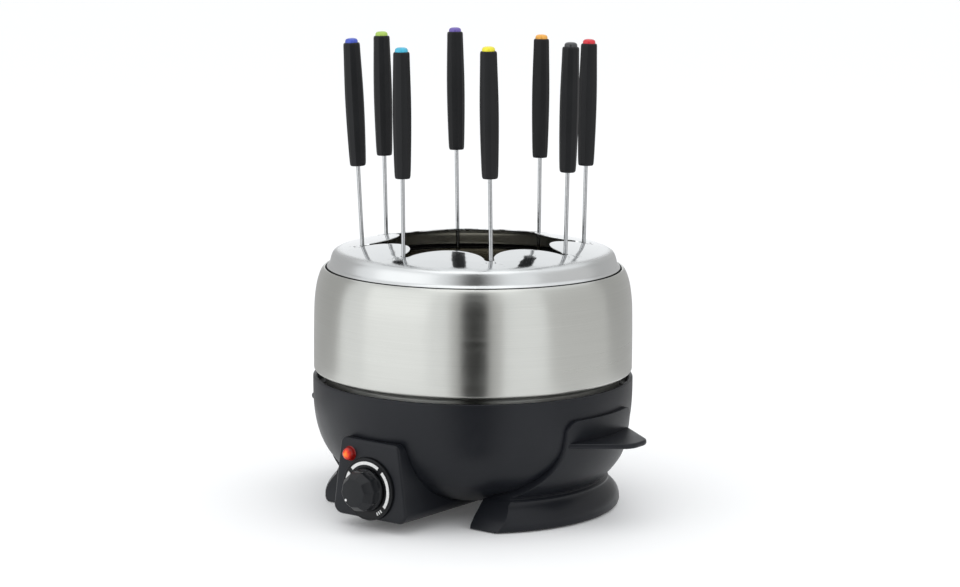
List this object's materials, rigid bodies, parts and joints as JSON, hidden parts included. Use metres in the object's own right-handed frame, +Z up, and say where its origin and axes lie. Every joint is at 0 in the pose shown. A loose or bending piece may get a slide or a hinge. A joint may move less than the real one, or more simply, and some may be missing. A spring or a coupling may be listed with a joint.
{
  "type": "fondue pot set",
  "caption": "Electric fondue set: black heating base with dial and side handle-feet, brushed steel pot, polished fork ring and long forks with coloured caps.",
  "frame": {"origin": "on the pot's axis, on the table top under the four rubber pads", "axes": "+Z up along the pot's axis; the control housing faces -Y; the handle-feet point along +X and -X"},
  "size_m": [0.263, 0.2275, 0.3041],
  "materials": {
    "base_plastic": "satin",
    "dial_plastic": "matte",
    "knob_plastic": "satin",
    "print_white": "matte",
    "lamp_red": "gloss",
    "neon_glass": "gloss",
    "reflector": "bright",
    "cast_plate": "cast",
    "disc_aluminium": "machined",
    "element_steel": "heat darkened",
    "screw_steel": "plated",
    "ceramic_white": "matte",
    "rubber_black": "matte",
    "pot_steel": "circular brushed",
    "ring_steel": "polished",
    "fork_steel": "polished",
    "handle_plastic": "soft matte",
    "cap_yellow": "gloss",
    "cap_grey": "gloss",
    "cap_red": "gloss",
    "cap_orange": "gloss",
    "cap_purple": "gloss",
    "cap_green": "gloss",
    "cap_blue": "gloss",
    "cap_turquoise": "gloss"
  },
  "bodies": {
    "base": {"base_bowl": "base_plastic", "reflector_pan": "reflector", "pan_screws": "screw_steel", "heating_plate": "cast_plate", "heating_element": "element_steel", "plate_standoffs": "screw_steel", "control_housing": "base_plastic", "housing_cover": "base_plastic", "cover_screws": "screw_steel", "dial_disc": "dial_plastic", "dial_marks": "print_white", "lamp_lens": "lamp_red", "neon_lamp": "neon_glass", "thermostat": "ceramic_white", "thermostat_bracket": "screw_steel", "terminal_block": "ceramic_white", "thermal_fuse": "ceramic_white", "cord_gland": "rubber_black", "handle_foot_right": "base_plastic", "handle_foot_left": "base_plastic", "foot_screws_right": "screw_steel", "foot_screws_left": "screw_steel", "foot_pads_right": "rubber_black", "foot_pads_left": "rubber_black"},
    "knob": {"knob": "knob_plastic", "knob_spindle": "screw_steel"},
    "pot": {"pot_body": "pot_steel", "pot_base_disc": "disc_aluminium"},
    "ring": {"fork_ring": "ring_steel"},
    "fork_yellow": {"fork_yellow_shaft": "fork_steel", "fork_yellow_handle": "handle_plastic", "fork_yellow_cap": "cap_yellow"},
    "fork_grey": {"fork_grey_shaft": "fork_steel", "fork_grey_handle": "handle_plastic", "fork_grey_cap": "cap_grey"},
    "fork_red": {"fork_red_shaft": "fork_steel", "fork_red_handle": "handle_plastic", "fork_red_cap": "cap_red"},
    "fork_orange": {"fork_orange_shaft": "fork_steel", "fork_orange_handle": "handle_plastic", "fork_orange_cap": "cap_orange"},
    "fork_purple": {"fork_purple_shaft": "fork_steel", "fork_purple_handle": "handle_plastic", "fork_purple_cap": "cap_purple"},
    "fork_green": {"fork_green_shaft": "fork_steel", "fork_green_handle": "handle_plastic", "fork_green_cap": "cap_green"},
    "fork_blue": {"fork_blue_shaft": "fork_steel", "fork_blue_handle": "handle_plastic", "fork_blue_cap": "cap_blue"},
    "fork_turquoise": {"fork_turquoise_shaft": "fork_steel", "fork_turquoise_handle": "handle_plastic", "fork_turquoise_cap": "cap_turquoise"}
  },
  "joints": [
    {"name": "knob_turn", "type": "hinge", "parent": "base", "child": "knob", "pos_m": [0, -0.107, 0.0266], "axis": [0, 1, 0], "range_deg": [0, 258]},
    {"name": "pot_lift", "type": "slide", "parent": "base", "child": "pot", "axis": [0, 0, 1], "range_m": [0, 0.06]},
    {"name": "ring_lift", "type": "slide", "parent": "pot", "child": "ring", "axis": [0, 0, 1], "range_m": [0, 0.12]},
    {"name": "fork_yellow_lift", "type": "slide", "parent": "ring", "child": "fork_yellow", "axis": [-0.0764, 0.0469, 0.996], "range_m": [0, 0.13]},
    {"name": "fork_grey_lift", "type": "slide", "parent": "ring", "child": "fork_grey", "axis": [-0.0871, -0.0174, 0.996], "range_m": [0, 0.13]},
    {"name": "fork_red_lift", "type": "slide", "parent": "ring", "child": "fork_red", "axis": [-0.0616, -0.0616, 0.9962], "range_m": [0, 0.13]},
    {"name": "fork_orange_lift", "type": "slide", "parent": "ring", "child": "fork_orange", "axis": [-0.0035, -0.0872, 0.9962], "range_m": [0, 0.13]},
    {"name": "fork_purple_lift", "type": "slide", "parent": "ring", "child": "fork_purple", "axis": [0.0518, -0.0715, 0.9961], "range_m": [0, 0.13]},
    {"name": "fork_green_lift", "type": "slide", "parent": "ring", "child": "fork_green", "axis": [0.0872, 0, 0.9962], "range_m": [0, 0.13]},
    {"name": "fork_blue_lift", "type": "slide", "parent": "ring", "child": "fork_blue", "axis": [0.0616, 0.0616, 0.9962], "range_m": [0, 0.13]},
    {"name": "fork_turquoise_lift", "type": "slide", "parent": "ring", "child": "fork_turquoise", "axis": [0, 0.0872, 0.9962], "range_m": [0, 0.13]}
  ]
}
